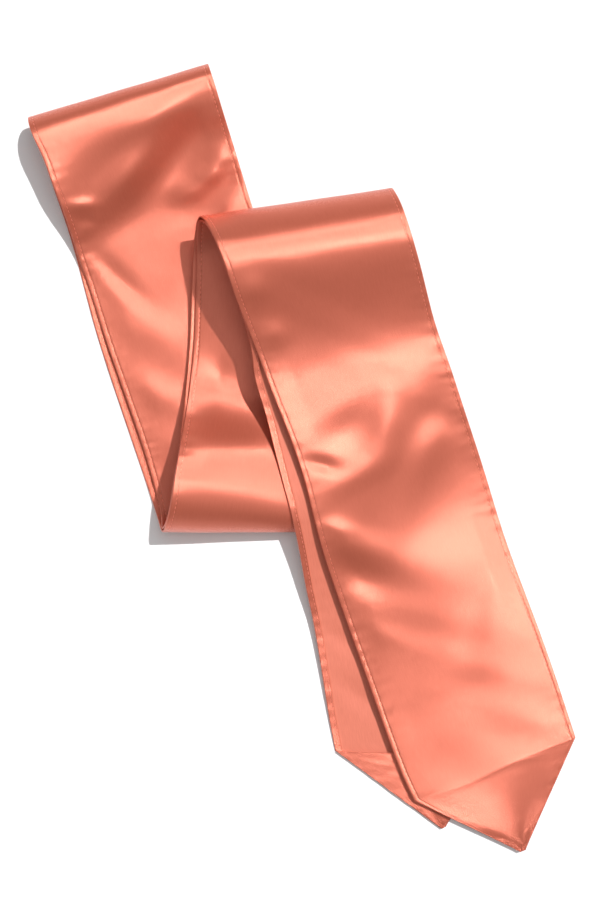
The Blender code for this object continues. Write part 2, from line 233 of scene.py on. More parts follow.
# Broad soft ridges and troughs. Heading is degrees from +X towards +Y
SWELLS = {
    Stretch.FRONT_UPPER: [
        Swell(-82.0, 186.0, 20.0, 50.0, 7.0, 1.4),
        Swell(-64.0, 176.0, 50.0, 44.0, 13.0, -2.8),
        Swell(-93.0, 157.0, 46.0, 54.0, 9.0, 3.2),
        Swell(-61.0, 148.0, 10.0, 20.0, 6.0, 1.6),
        Swell(-50.0, 157.0, 25.0, 20.0, 6.0, 2.0),
        Swell(-41.0, 168.0, 35.0, 18.0, 6.0, 2.0),
        Swell(-33.0, 146.0, 48.0, 34.0, 6.0, 1.4),
        Swell(-122.0, 139.0, 5.0, 18.0, 3.5, 1.3),
        Swell(-121.0, 132.0, -8.0, 18.0, 3.0, -0.6),
        Swell(-121.0, 125.0, 38.0, 26.0, 4.0, 0.5),
        Swell(-104.0, 104.0, -42.0, 50.0, 5.0, -0.5),
        Swell(-110.0, 99.0, -42.0, 50.0, 6.0, 0.5),
        Swell(-82.0, 70.0, -18.0, 50.0, 10.0, 0.8),
        Swell(-78.0, 36.0, -24.0, 44.0, 9.0, 0.8),
        Swell(-70.0, 8.0, 30.0, 40.0, 9.0, 0.5),
    ],
    Stretch.BACK_UPPER: [
        Swell(-58.0, 168.0, 40.0, 60.0, 12.0, -2.4),
        Swell(-96.0, 112.0, -30.0, 60.0, 8.0, -0.8),
        Swell(-80.0, 60.0, 20.0, 60.0, 10.0, 0.6),
    ],
    Stretch.BACK_MIDDLE: MIDDLE_SWELLS,
    Stretch.BACK_LOWER: [
        Swell(20.0, -98.0, -28.0, 40.0, 5.0, -0.7),
        Swell(30.0, -129.0, -32.0, 60.0, 6.0, -0.8),
        Swell(80.0, -60.0, 20.0, 70.0, 12.0, -1.0),
        Swell(40.0, 20.0, -14.0, 60.0, 10.0, 0.8),
    ],
    Stretch.FRONT_MIDDLE: MIDDLE_SWELLS,
    Stretch.FRONT_LOWER: [
        Swell(12.0, 42.0, 20.0, 70.0, 16.0, -1.2),
        Swell(30.0, 40.0, 14.0, 60.0, 9.0, 0.6),
        Swell(24.0, 16.0, 24.0, 38.0, 11.0, -1.4),
        Swell(48.0, 22.0, 80.0, 44.0, 9.0, 0.8),
        Swell(30.0, -9.0, 30.0, 44.0, 7.0, 0.7),
        Swell(72.0, 10.0, 60.0, 44.0, 9.0, 0.8),
        Swell(88.0, 26.0, 20.0, 50.0, 14.0, -1.8),
        Swell(9.0, -2.0, -12.0, 20.0, 4.0, -1.2),
        Swell(-33.0, 88.0, 16.0, 24.0, 7.0, 1.6),
        Swell(-20.0, 66.0, 16.0, 24.0, 7.0, 1.3),
        Swell(25.0, -46.0, -24.0, 44.0, 10.0, 1.9),
        Swell(31.0, -62.0, -24.0, 44.0, 12.0, -1.9),
        Swell(76.0, -62.0, 20.0, 100.0, 30.0, 1.8),
        Swell(19.0, -37.0, -14.0, 20.0, 4.0, 0.5),
        Swell(44.0, -95.0, -26.0, 30.0, 5.0, 0.2),
        Swell(108.0, -80.0, 78.0, 50.0, 8.0, 0.4),
        Swell(88.0, -132.0, 30.0, 70.0, 12.0, -0.6),
    ],
}

# Narrow creases, along paths
CREASES: dict[Stretch, list[Crease]] = {
    Stretch.FRONT_LOWER: [
        Crease(((65.7, -188.0), (92.8, -179.0), (117.0, -167.6), (144.0, -160.5)), 1.0, 0.12),
    ],
}

# Faint ripples all over the cloth, and the fine and coarse puckers along its hems
RIPPLES = (
    Wave(7.7, 10.3, 1.9, 41.0, 23.0),
    Wave(5.3, -13.1, 1.6, 29.0, -17.0),
    Wave(np.inf, 6.1, 2.2, 19.0, np.inf, 0.8),
)
FINE_PUCKERS = Wave(1.15, np.inf, 1.7, 9.1, np.inf)
COARSE_PUCKERS = Wave(2.3, np.inf, 1.3, 17.0, np.inf, 0.7)


def unit(vectors: np.ndarray) -> np.ndarray:
    """Return the vectors at length 1."""
    return vectors / np.linalg.norm(vectors, axis=-1, keepdims=True)


def eased(values: np.ndarray) -> np.ndarray:
    """Return a smooth step: 0 below 0, 1 above 1, and a soft S between."""
    held = np.clip(values, 0.0, 1.0)
    return held * held * (3 - 2 * held)


def arched(places: np.ndarray) -> np.ndarray:
    """Return an arch across the cloth: 0 at places 0 and 1, and 1 midway between."""
    return 4 * places * (1 - places)


@dataclass
class FoldedRoute:
    """The way the strip lies, as ruled lines across it from the back point to the front point.

    Attributes:
        pitch: distance between the middles of the two halves where they run together.
        step: longest distance between neighbouring lines.
        rows: each line's left end, right end and crown, as seven numbers.
        places: each named fold's line.
    """

    pitch: float = 2.0
    step: float = 1.0
    rows: np.ndarray = field(init=False)
    places: dict[str, int] = field(init=False)

    def __post_init__(self) -> None:
        """Lay the strip down."""
        knots, folds = self.knots()
        smooth, at = self.smooth_rows(knots[1:-1])
        before = self.straight_rows(knots[0], knots[1])
        after = self.straight_rows(knots[-1], knots[-2])[::-1]
        self.rows = np.vstack([before, smooth, after])
        moved = [0, *(place + len(before) for place in at), len(self.rows) - 1]
        self.places = {name: moved[index] for name, index in folds.items()}

    @staticmethod
    def row(section: Section) -> np.ndarray:
        """Return the section's left end, its right end and its crown."""
        return np.array([*section[1:7], section.crown])

    def paired_half(self, half: Half) -> list[np.ndarray]:
        """Work out one half's lines where the halves run together.

        Args:
            half: which half.

        Returns:
            The half's rows, a half pitch from the line midway between the halves.
        """
        rows = [self.row(section) for section in PAIR]
        framed = [2 * rows[0] - rows[1], *rows, self.row(FRONT_END[0])]
        made = []
        for i, section in enumerate(PAIR, start=1):
            row = framed[i].copy()
            across = unit(row[3:6] - row[0:3])
            for k in (0, 3):
                back = framed[i][k : k + 3] - framed[i - 1][k : k + 3]
                ahead = framed[i + 1][k : k + 3] - framed[i][k : k + 3]
                near = np.linalg.norm(back)
                far = np.linalg.norm(ahead)
                up = unit(np.cross(back * far / near + ahead * near / far, across))
                row[k : k + 3] += half.value * (up * self.pitch / 2 + across * section.shift)
            made.append(row)
        return made

    def knots(self) -> tuple[np.ndarray, dict[str, int]]:
        """Join the tables into one strip.

        Returns:
            The rows from the back point to the front point, and where the folds lie among them.
        """
        back = [self.row(s) for s in BACK_START] + self.paired_half(Half.BACK)
        back += [self.row(s) for s in BACK_END]
        front = [self.row(s) for s in FRONT_START] + self.paired_half(Half.FRONT)
        front += [self.row(s) for s in FRONT_END]
        names = [section.name for section in PAIR]
        turn = names.index("turn out")
        loop = names.index("loop back")
        middle = len(back) - 1
        folds = {
            "back tip": 0,
            "back corners": 1,
            "back loop": middle - len(BACK_START) - loop,
            "back turn": middle - len(BACK_START) - turn,
            "middle fold": middle,
            "front turn": middle + len(FRONT_START) + turn,
            "front loop": middle + len(FRONT_START) + loop,
            "front corners": middle + len(front) - 2,
            "front tip": middle + len(front) - 1,
        }
        return np.array(back[::-1] + front[1:]), folds

    @staticmethod
    def bends_of(rows: np.ndarray, times: np.ndarray) -> np.ndarray:
        """Solve the natural cubic spline through the rows.

        Args:
            rows: the rows that the spline passes through.
            times: where each row lies along the spline.

        Returns:
            The spline's second derivatives at the rows.
        """
        gaps = np.diff(times)
        system = np.eye(len(rows))
        wanted = np.zeros_like(rows)
        for i in range(1, len(rows) - 1):
            system[i, i - 1 : i + 2] = gaps[i - 1], 2 * (gaps[i - 1] + gaps[i]), gaps[i]
            wanted[i] = 6 * ((rows[i + 1] - rows[i]) / gaps[i] - (rows[i] - rows[i - 1]) / gaps[i - 1])
        return np.linalg.solve(system, wanted)

    def smooth_rows(self, rows: np.ndarray) -> tuple[np.ndarray, list[int]]:
        """Fill in a smooth curve through the given rows.

        Args:
            rows: the rows to pass through.

        Returns:
            The rows on the curve, and where the given ones lie among them.
        """
        middles = (rows[:, 0:3] + rows[:, 3:6]) / 2
        chords = np.linalg.norm(np.diff(middles, axis=0), axis=1)
        times = np.concatenate([[0.0], np.cumsum(np.sqrt(chords))])
        bends = self.bends_of(rows, times)
        made = []
        places = []
        for i in range(len(rows) - 1):
            gap = times[i + 1] - times[i]
            longest = max(np.linalg.norm(rows[i + 1, k : k + 3] - rows[i, k : k + 3]) for k in (0, 3))
            places.append(len(made))
            for part in np.linspace(0, 1, int(np.ceil(longest / self.step)), endpoint=False):
                rest = 1 - part
                bow = (rest**3 - rest) * bends[i] + (part**3 - part) * bends[i + 1]
                made.append(rest * rows[i] + part * rows[i + 1] + bow * gap * gap / 6)
        places.append(len(made))
        made.append(rows[-1])
        return np.array(made), places

    def straight_rows(self, start: np.ndarray, end: np.ndarray) -> np.ndarray:
        """Fill in rows from start up to but not including end, whose ends lie on straight lines."""
        count = int(np.ceil(np.linalg.norm(end[0:6] - start[0:6]) / self.step))
        return start + (end - start) * np.linspace(0, 1, count, endpoint=False)[:, None]


@dataclass
class HemmedCloth:
    """The satin itself: how wide and thick it is, how its hems are turned, and its fine ripples.

    Attributes:
        width: finished width of the sash.
        form: distance from the satin side of one half's solid to its middle.
        thickness: thickness of one layer.
        hem_width: width of the turned hem.
        hem_thickness: thickness where the hem is turned under.
        hem_ramp: distance over which the hem's inner edge falls to one layer.
        edge_radius: radius of the hem's folded edge.
        stitch_inset: distance of the stitching from the edge.
        stitch_groove: depth of the groove that the stitching pulls in.
        stitch_width: half width of that groove.
        middle_step: spacing of the lengthways lines between the hems.
        hem_lines: distances from the edge of the lengthways lines near it.
        pucker: height of the puckers along the stitching.
        pucker_reach: how far the puckers run in from the stitching.
        pucker_lag: how far the right hem's puckers run behind the left's, in radians.
        pucker_patches: lengths over which the two patterns that weaken the puckers turn by one radian.
        least_pucker: how strong the puckers are on average.
        ripple: height of the faint ripples all over.
    """

    width: float = 101.6
    form: float = 0.5
    thickness: float = 0.35
    hem_width: float = 4.0
    hem_thickness: float = 1.0
    hem_ramp: float = 0.4
    edge_radius: float = 0.5
    stitch_inset: float = 2.7
    stitch_groove: float = 0.12
    stitch_width: float = 0.4
    middle_step: float = 1.6
    hem_lines: tuple[float, ...] = (
        0.0, 0.1, 0.3, 0.6, 1.2, 1.8, 2.3, 2.7, 3.1, 3.5, 3.8, 4.2, 5.0, 6.0, 7.2, 8.6
    )
    pucker: float = 0.14
    pucker_reach: float = 5.0
    pucker_lag: float = 2.3
    pucker_patches: tuple[float, float] = (31.0, 12.3)
    least_pucker: float = 0.55
    ripple: float = 0.10

    def lines(self) -> np.ndarray:
        """Return each lengthways line's distance across the cloth from its left edge."""
        near = np.array(self.hem_lines)
        inner = self.width - 2 * near[-1]
        middle = near[-1] + np.linspace(0, inner, int(np.ceil(inner / self.middle_step)) + 1)[1:-1]
        return np.concatenate([near, middle, (self.width - near)[::-1]])

    def from_edge(self) -> np.ndarray:
        """Return each lengthways line's distance from the nearer edge."""
        lines = self.lines()
        return np.minimum(lines, self.width - lines)

    def edge_drop(self) -> np.ndarray:
        """Return how far each line's satin side falls as the hem's fold rounds over."""
        past = np.clip(1 - self.from_edge() / self.edge_radius, 0.0, 1.0)
        return self.hem_thickness / 2 * (1 - np.sqrt(1 - past**2))

    def groove(self) -> np.ndarray:
        """Return how far each line is pulled in by the stitching."""
        aside = (self.from_edge() - self.stitch_inset) / self.stitch_width
        return self.stitch_groove * np.exp(-(aside**2))

    def walls(self) -> np.ndarray:
        """Return the cloth's thickness at each line."""
        past = eased((self.from_edge() - self.hem_width + self.hem_ramp) / self.hem_ramp)
        return self.hem_thickness + (self.thickness - self.hem_thickness) * past

    def puckers(self, run: np.ndarray) -> np.ndarray:
        """Work out the uneven puckers that the stitching draws up along both hems.

        Args:
            run: each row's distance along the strip.

        Returns:
            How far the cloth lifts at each row and line.
        """
        along = run[:, None]
        left = self.lines()[None, :] < self.width / 2
        lag = np.where(left, 0.0, self.pucker_lag)
        wave = FINE_PUCKERS.height(along, 0.0, lag, lag) + COARSE_PUCKERS.height(along, 0.0, 2 * lag)
        long_patch, short_patch = self.pucker_patches
        patches = np.sin(along / long_patch + 3 * lag) * np.sin(along / short_patch + lag)
        strength = self.least_pucker + (1 - self.least_pucker) * patches
        fall = np.exp(-np.maximum(self.from_edge() - self.stitch_inset, 0) / self.pucker_reach)
        return self.pucker / 2 * wave * strength * fall[None, :]

    def ripples(self, run: np.ndarray) -> np.ndarray:
        """Work out faint uneven ripples all over the cloth.

        Args:
            run: each row's distance along the strip.

        Returns:
            How far the cloth lifts at each row and line.
        """
        along = run[:, None]
        across = self.lines()[None, :]
        return self.ripple / 2 * sum(wave.height(along, across) for wave in RIPPLES)


@dataclass(frozen=True)
class FoldShape:
    """The folds of one stretch of cloth.

    Attributes:
        swells: its broad soft ridges and troughs.
        creases: its narrow ridges and troughs.
    """

    swells: tuple[Swell, ...]
    creases: tuple[Crease, ...]

    def swell_heights(self, x: np.ndarray, y: np.ndarray) -> np.ndarray:
        """Return how far the broad ridges and troughs lift the cloth at x, y."""
        heights = np.zeros_like(x)
        for swell in self.swells:
            turn = np.radians(swell.heading)
            along = (x - swell.x) * np.cos(turn) + (y - swell.y) * np.sin(turn)
            aside = (y - swell.y) * np.cos(turn) - (x - swell.x) * np.sin(turn)
            fall = (2 * along / swell.length) ** 2 + (aside / swell.width) ** 2
            heights += swell.height * np.exp(-fall)
        return heights

    def crease_heights(self, x: np.ndarray, y: np.ndarray) -> np.ndarray:
        """Return how far the narrow creases lift the cloth at x, y."""
        heights = np.zeros_like(x)
        for crease in self.creases:
            nearest = np.full_like(x, np.inf)
            along = np.zeros_like(x)
            run = 0.0
            for (ax, ay), (bx, by) in zip(crease.path, crease.path[1:]):
                length = float(np.hypot(bx - ax, by - ay))
                part = ((x - ax) * (bx - ax) + (y - ay) * (by - ay)) / length**2
                part = np.clip(part, 0.0, 1.0)
                gap = np.hypot(x - ax - part * (bx - ax), y - ay - part * (by - ay))
                closer = gap < nearest
                nearest = np.where(closer, gap, nearest)
                along = np.where(closer, run + part * length, along)
                run += length
            fade = eased(along / run * 3) * eased((run - along) / run * 3)
            heights += crease.height * fade * np.exp(1 - np.sqrt(1 + (nearest / crease.width) ** 2))
        return heights


@dataclass
class LaidSash:
    """The whole strip laid down: its satin face and its wrong side as grids of points.

    Attributes:
        cloth: the satin.
        route: the way the strip lies.
        run: each row's distance along the strip.
        middle: the points midway through the cloth.
        normals: the directions in which the satin side faces there.
        face: the points of the satin side.
        back: the points of the wrong side.
    """

    cloth: HemmedCloth
    route: FoldedRoute
    run: np.ndarray = field(init=False)
    middle: np.ndarray = field(init=False)
    normals: np.ndarray = field(init=False)
    face: np.ndarray = field(init=False)
    back: np.ndarray = field(init=False)

    def __post_init__(self) -> None:
        """Shape the strip's two sides."""
        centres = (self.route.rows[:, 0:3] + self.route.rows[:, 3:6]) / 2
        steps = np.linalg.norm(np.diff(centres, axis=0), axis=1)
        self.run = np.concatenate([[0.0], np.cumsum(steps)])
        self.middle = self.middle_surface()
        self.normals = self.satin_normals(self.middle)
        inset = (self.cloth.edge_drop() + self.cloth.groove())[None, :, None]
        wall = self.cloth.walls()[None, :, None]
        self.face = self.middle + self.normals * (self.cloth.form - inset)
        self.back = self.middle + self.normals * (self.cloth.form - wall + inset)
        for side in (self.face, self.back):
            side[:, :, 2] = np.maximum(side[:, :, 2], 0.0)

    def span(self, piece: Enum) -> slice:
        """Return the rows of one stretch or point."""
        start, end = SPANS[piece]
        return slice(self.route.places[start], self.route.places[end] + 1)

    def middle_surface(self) -> np.ndarray:
        """Work out the middle of the whole strip's cloth.

        Returns:
            One line of points across the cloth for each row.
        """
        rows = self.route.rows
        places = self.cloth.lines() / self.cloth.width
        points = rows[:, None, 0:3] + (rows[:, None, 3:6] - rows[:, None, 0:3]) * places[None, :, None]
        hump = arched(places)
        points[:, :, 2] += rows[:, 6:7] * hump
        for stretch in Stretch:
            span = self.span(stretch)
            folds = FoldShape(tuple(SWELLS.get(stretch, ())), tuple(CREASES.get(stretch, ())))
            x, y = points[span, :, 0], points[span, :, 1]
            points[span, :, 2] += folds.swell_heights(x, y) * np.minimum(1.0, 2 * hump)
            points[span, :, 2] += folds.crease_heights(x, y)
        lift = self.cloth.puckers(self.run) + self.cloth.ripples(self.run)
        points += self.satin_normals(points) * lift[:, :, None]
        points[:, :, 2] = np.maximum(points[:, :, 2], self.cloth.form)
        return points

    @staticmethod
    def satin_normals(points: np.ndarray) -> np.ndarray:
        """Return the directions in which the strip's satin side faces."""
        along = np.gradient(points, axis=0)
        across = np.gradient(points, axis=1)
        return unit(np.cross(along, across))


def set_inputs(node: bpy.types.Node, values: dict[str | int, object]) -> None:
    """Give the node's named sockets these plain values."""
    for socket, value in values.items():
        node.inputs[socket].default_value = value


def add_node(tree: bpy.types.NodeTree, kind: str, name: str, inputs: dict[str | int, object] | None = None,
             **values: object) -> bpy.types.Node:
    """Add a named node and set its plain values.

    Args:
        tree: the tree that the node goes in.
        kind: the end of Blender's name for the type of node.
        name: the node's name and label.
        inputs: values of its sockets.
        values: attributes of the node.

    Returns:
        The new node.
    """
    node = tree.nodes.new(f"ShaderNode{kind}")
    node.name = name
    node.label = name
    for key, value in values.items():
        setattr(node, key, value)
    set_inputs(node, inputs or {})
    return node


def join(tree: bpy.types.NodeTree, *links: tuple[bpy.types.Node, str, bpy.types.Node, str | int]) -> None:
    """Link the nodes: each link is a node, its output, the next node and that one's input."""
    for source, output, target, socket in links:
        tree.links.new(source.outputs[output], target.inputs[socket])


def principled(name: str, inputs: dict[str | int, object]) -> tuple[bpy.types.Material, bpy.types.Node]:
    """Make a material, and return it and its Principled node with these values."""
    finish = bpy.data.materials.new(name)
    finish.use_nodes = True
    shader = finish.node_tree.nodes["Principled BSDF"]
    set_inputs(shader, inputs)
    return finish, shader


def add_object(name: str, holds: bpy.types.ID) -> bpy.types.Object:
    """Link a new object that holds the data."""
    made = bpy.data.objects.new(name, holds)
    bpy.context.scene.collection.objects.link(made)
    return made


@dataclass(frozen=True)
class SatinWeave:
    """The weave as a shader group: round warp threads whose floats arch over the weft, with faint slubs.

    Attributes:
        thread: spacing of the warp threads.
        float_length: length of one float of a thread.
        float_turn: angle between the rows of floats and the weft, in radians.
        slub: length of a slub along its thread.
        slub_detail: octaves of the slubs' noise.
        unit: length of one unit of the cloth's UV map.
        wave_turns: waves in one unit of Blender's wave texture.
    """

    thread: float = 0.32
    float_length: float = 0.55
    float_turn: float = 0.46
    slub: float = 6.0
    slub_detail: float = 2.0
    unit: float = 100.0
    wave_turns: float = 3.183

    def group(self) -> bpy.types.NodeTree:
        """Build the shader group once.

        Returns:
            The group, which turns the cloth's UV into a height in metres and a slight change of tone.
        """
        found = bpy.data.node_groups.get("satin weave")
        if found:
            return found
        tree = bpy.data.node_groups.new("satin weave", "ShaderNodeTree")
        for name, way, kind in (
            ("Cloth UV", "INPUT", "Vector"),
            ("Thread Slope", "INPUT", "Float"),
            ("Height", "OUTPUT", "Float"),
            ("Tone", "OUTPUT", "Float"),
        ):
            tree.interface.new_socket(name, in_out=way, socket_type=f"NodeSocket{kind}")
        given = tree.nodes.new("NodeGroupInput")
        made = tree.nodes.new("NodeGroupOutput")
        threads = self.waves(tree, "warp threads", self.thread, "X")
        floats = self.waves(tree, "floats", self.float_length, "Y")
        rise = {1: self.thread * MM / np.pi}
        across = add_node(tree, "Math", "thread height", rise, operation="MULTIPLY")
        rise = {1: self.float_length * MM / np.pi}
        along = add_node(tree, "Math", "float height", rise, operation="MULTIPLY_ADD")
        stagger = add_node(tree, "Mapping", "staggered floats", {"Rotation": (0.0, 0.0, self.float_turn)})
        scale = (self.unit / self.thread / 2, self.unit / self.slub, 1.0)
        stretch = add_node(tree, "Mapping", "along the threads", {"Scale": scale})
        slubs = add_node(tree, "TexNoise", "slubs", {"Scale": 1.0, "Detail": self.slub_detail})
        depth = add_node(tree, "Math", "weave height", operation="MULTIPLY")
        join(
            tree,
            (given, "Cloth UV", threads, "Vector"),
            (given, "Cloth UV", stretch, "Vector"),
            (stretch, "Vector", slubs, "Vector"),
            (given, "Cloth UV", stagger, "Vector"),
            (stagger, "Vector", floats, "Vector"),
            (threads, "Fac", across, 0),
            (floats, "Fac", along, 0),
            (across, "Value", along, 2),
            (along, "Value", depth, 0),
            (given, "Thread Slope", depth, 1),
            (depth, "Value", made, "Height"),
            (slubs, "Fac", made, "Tone"),
        )
        return tree

    def waves(self, tree: bpy.types.NodeTree, name: str, spacing: float, way: str) -> bpy.types.Node:
        """Add even round waves of this spacing in the way given, X or Y of the cloth."""
        scale = {"Scale": self.unit / spacing / self.wave_turns}
        return add_node(tree, "TexWave", name, scale, bands_direction=way)


@dataclass(frozen=True)
class ClothFinish:
    """One side of the satin.

    Attributes:
        name: name of the material.
        light: its paler tone, where the slubs' noise is high.
        deep: its deeper tone, where the slubs' noise is low.
        roughness: roughness of its gloss.
        metallic: share of its gloss that takes the dye's colour.
        ior: how strongly its surface reflects, as an index of refraction.
        sheen: strength of its soft sheen.
        thread_slope: steepest slope of its threads' sides.
        sheen_roughness: roughness of that sheen.
        tone_range: tones of the slubs at which it is deep and light.
    """

    name: str
    light: tuple[float, float, float]
    deep: tuple[float, float, float]
    roughness: float
    metallic: float
    ior: float
    sheen: float
    thread_slope: float
    sheen_roughness: float = 0.4
    tone_range: tuple[float, float] = (0.3, 0.7)

    def material(self) -> bpy.types.Material:
        """Build the material.

        Returns:
            A Principled material over the woven group.
        """
        finish, shader = principled(self.name, {
            "Roughness": self.roughness,
            "Metallic": self.metallic,
            "IOR": self.ior,
            "Sheen Weight": self.sheen,
            "Sheen Roughness": self.sheen_roughness,
        })
        tree = finish.node_tree
        cloth_uv = add_node(tree, "UVMap", "cloth UV", uv_map="cloth")
        weave = add_node(tree, "Group", "weave", node_tree=SatinWeave().group())
        set_inputs(weave, {"Thread Slope": self.thread_slope})
        tones = add_node(tree, "ValToRGB", "dye")
        ends = zip(tones.color_ramp.elements, self.tone_range, (self.deep, self.light))
        for element, place, colour in ends:
            element.position = place
            element.color = (*colour, 1.0)
        bump = add_node(tree, "Bump", "threads", {"Distance": 1.0, "Strength": 1.0})
        join(
            tree,
            (cloth_uv, "UV", weave, "Cloth UV"),
            (weave, "Height", bump, "Height"),
            (weave, "Tone", tones, "Fac"),
            (tones, "Color", shader, "Base Color"),
            (bump, "Normal", shader, "Normal"),
        )
        return finish


SATIN_SIDE = ClothFinish(
    name="coral satin",
    light=(0.66, 0.148, 0.082),
    deep=(0.62, 0.134, 0.072),
    roughness=0.27,
    metallic=0.6,
    ior=2.0,
    sheen=0.0,
    thread_slope=0.26,
)
WRONG_SIDE = ClothFinish(
    name="coral satin wrong side",
    light=(0.68, 0.185, 0.115),
    deep=(0.63, 0.165, 0.10),
    roughness=0.62,
    metallic=0.15,
    ior=1.5,
    sheen=0.1,
    thread_slope=0.1,
)


@dataclass(frozen=True)
class ThreadFinish:
    """The sewing thread, dyed to match.

    Attributes:
        colour: its colour.
        roughness: roughness of its gloss.
        sheen: strength of its soft sheen.
        twist_scale: turns of its twist in a metre.
        twist_height: height of its twist.
    """

    colour: tuple[float, float, float] = (0.72, 0.18, 0.11)
    roughness: float = 0.5
    sheen: float = 0.2
    twist_scale: float = 9000.0
    twist_height: float = 0.02

    def material(self) -> bpy.types.Material:
        """Build the thread's material, with a fine twist."""
        finish, shader = principled("coral thread", {
            "Base Color": (*self.colour, 1.0),
            "Roughness": self.roughness,
            "Sheen Weight": self.sheen,
        })
        tree = finish.node_tree
        place = add_node(tree, "TexCoord", "place")
        twist = add_node(tree, "TexNoise", "twist", {"Scale": self.twist_scale})
        bump = add_node(tree, "Bump", "twist height", {"Distance": self.twist_height * MM})
        join(
            tree,
            (place, "Object", twist, "Vector"),
            (twist, "Fac", bump, "Height"),
            (bump, "Normal", shader, "Normal"),
        )
        return finish


@dataclass
class ClothPieces:
    """Makes the sash's pieces from the laid strip.

    Attributes:
        sash: the strip as it lies.
        sharp: angle over which an edge stays sharp, in radians.
        satin: the finish of its satin side.
        wrong_side: the finish of its wrong side.
    """

    sash: LaidSash
    sharp: float = 1.0
    satin: bpy.types.Material = field(init=False)
    wrong_side: bpy.types.Material = field(init=False)

    def __post_init__(self) -> None:
        """Make the two sides' finishes."""
        self.satin = SATIN_SIDE.material()
        self.wrong_side = WRONG_SIDE.material()

    def wall(self, name: str, outer: np.ndarray, inner: np.ndarray, run: np.ndarray, lines: np.ndarray,
             hem: np.ndarray) -> bpy.types.Object:
        """Make a closed wall of cloth as a grid, extruded.

        Args:
            name: name of the piece.
            outer: grid of points on the satin side.
            inner: grid of points on the wrong side.
            run: distance of each row along the cloth.
            lines: distance of each line across the cloth.
            hem: True at each line where the wrong side shows a turned hem.

        Returns:
            The piece.
        """
        rows, columns = outer.shape[0:2]
        wall = bmesh.new()
        bmesh.ops.create_grid(wall, x_segments=columns - 1, y_segments=rows - 1, size=1.0)
        place = wall.verts.layers.int.new("place")
        far_side = wall.verts.layers.int.new("far_side")
        for i, vertex in enumerate(wall.verts):
            vertex[place] = i
        extruded = bmesh.ops.extrude_face_region(wall, geom=wall.faces[:])
        for item in extruded["geom"]:
            if isinstance(item, bmesh.types.BMVert):
                item[far_side] = 1
        mesh = bpy.data.meshes.new(name)
        wall.to_mesh(mesh)
        wall.free()
        at = self.whole_numbers(mesh, "place")
        far = self.whole_numbers(mesh, "far_side").astype(bool)
        centre = np.array([CENTRE_X, CENTRE_Y, 0.0])
        spots = np.where(far[:, None], inner.reshape(-1, 3)[at], outer.reshape(-1, 3)[at]) - centre
        mesh.vertices.foreach_set("co", (spots * MM).ravel())
        corners = np.empty(len(mesh.loops), dtype=np.int32)
        mesh.loops.foreach_get("vertex_index", corners)
        row, column = np.divmod(at[corners], columns)
        cloth_uv = np.column_stack([lines[column], run[row]]) / SatinWeave.unit
        mesh.uv_layers.new(name="cloth").data.foreach_set("uv", cloth_uv.ravel())
        starts = np.arange(0, len(corners), 4)
        inward = far[corners].reshape(-1, 4).all(axis=1)
        in_hem = hem[column].reshape(-1, 4).all(axis=1)
        mesh.polygons.foreach_set("material_index", (inward & ~in_hem).astype(np.int32))
        mesh.materials.append(self.satin)
        mesh.materials.append(self.wrong_side)
        mesh.shade_smooth()
        mesh.set_sharp_from_angle(angle=self.sharp)
        mesh.update()
        LOG.info("%s: %d faces", name, len(starts))
        return add_object(name, mesh)

    @staticmethod
    def whole_numbers(mesh: bpy.types.Mesh, name: str) -> np.ndarray:
        """Read a mesh's whole number attribute, and remove it."""
        values = np.empty(len(mesh.vertices), dtype=np.int32)
        mesh.attributes[name].data.foreach_get("value", values)
        mesh.attributes.remove(mesh.attributes[name])
        return values

    def stretch(self, stretch: Stretch) -> bpy.types.Object:
        """Make one stretch of the strip."""
        span = self.sash.span(stretch)
        cloth = self.sash.cloth
        hem = cloth.from_edge() < cloth.hem_width - cloth.hem_ramp / 2
        return self.wall(f"{stretch.value}_cloth", self.sash.face[span], self.sash.back[span],
                         self.sash.run[span], cloth.lines(), hem)


